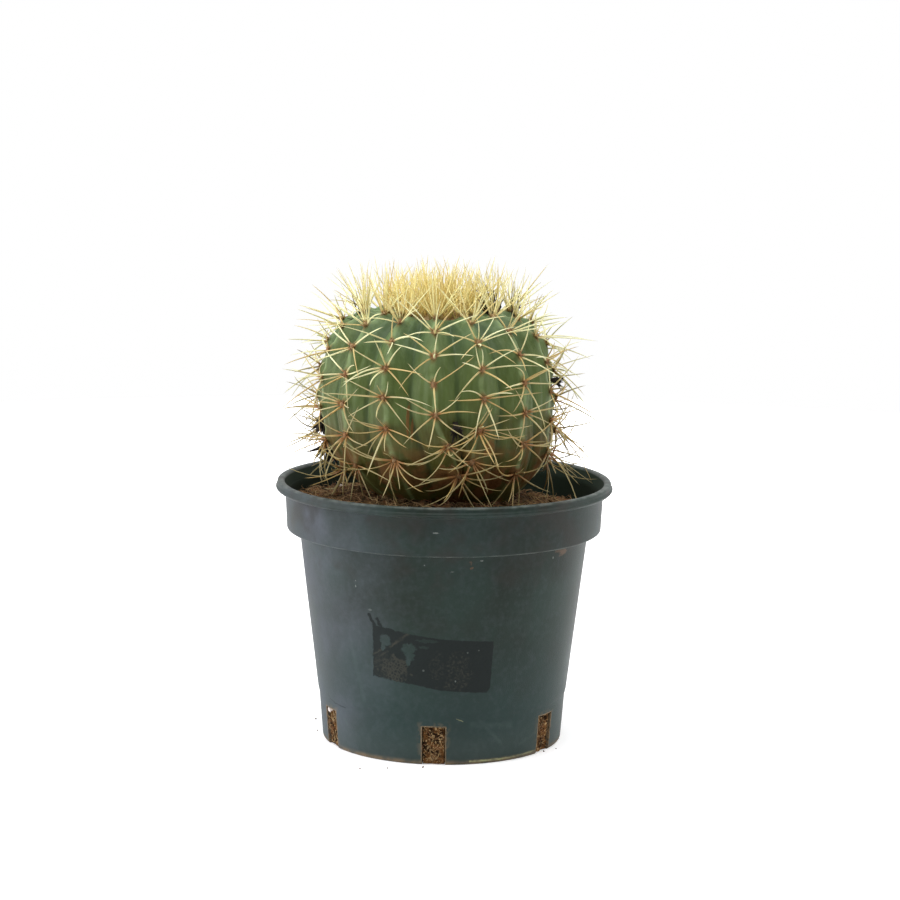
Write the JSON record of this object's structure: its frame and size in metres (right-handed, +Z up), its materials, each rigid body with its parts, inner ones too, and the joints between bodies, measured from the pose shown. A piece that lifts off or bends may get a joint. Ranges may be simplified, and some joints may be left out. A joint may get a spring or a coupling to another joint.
{
  "type": "potted round cactus",
  "caption": "Round ribbed cactus with long pale spines and a golden crown tuft, growing in soil in a dark green plastic nursery pot with drainage slots.",
  "frame": {"origin": "centre of the pot's foot circle, on the surface that the pot stands on", "axes": "+Z up along the pot's axis, -Y towards the front of the pot as pictured, +X to the right"},
  "size_m": [0.17, 0.17, 0.245],
  "materials": {
    "pot_plastic": "dark blue-green moulded plastic, satin, dusty and lightly scratched, with soil stains at the foot",
    "potting_soil": "dark brown peat with crumbs and dry rootlets, rough",
    "cactus_skin": "waxy mid-green skin, greyer at the top, paler along the rib ridges and corky brown at the foot",
    "golden_spines": "stiff golden straw-coloured spines with a red-brown base, slightly glossy",
    "dried_flower": "black withered papery flower remains, dull"
  },
  "bodies": {
    "root": {"pot": "pot_plastic", "soil": "potting_soil", "cactus": "cactus_skin", "crown_tuft": "golden_spines", "dried_flower_1": "dried_flower", "dried_flower_2": "dried_flower", "dried_flower_3": "dried_flower", "dried_flower_4": "dried_flower", "dried_flower_5": "dried_flower", "dried_flower_6": "dried_flower", "dried_flower_7": "dried_flower", "dried_flower_8": "dried_flower"}
  },
  "joints": []
}
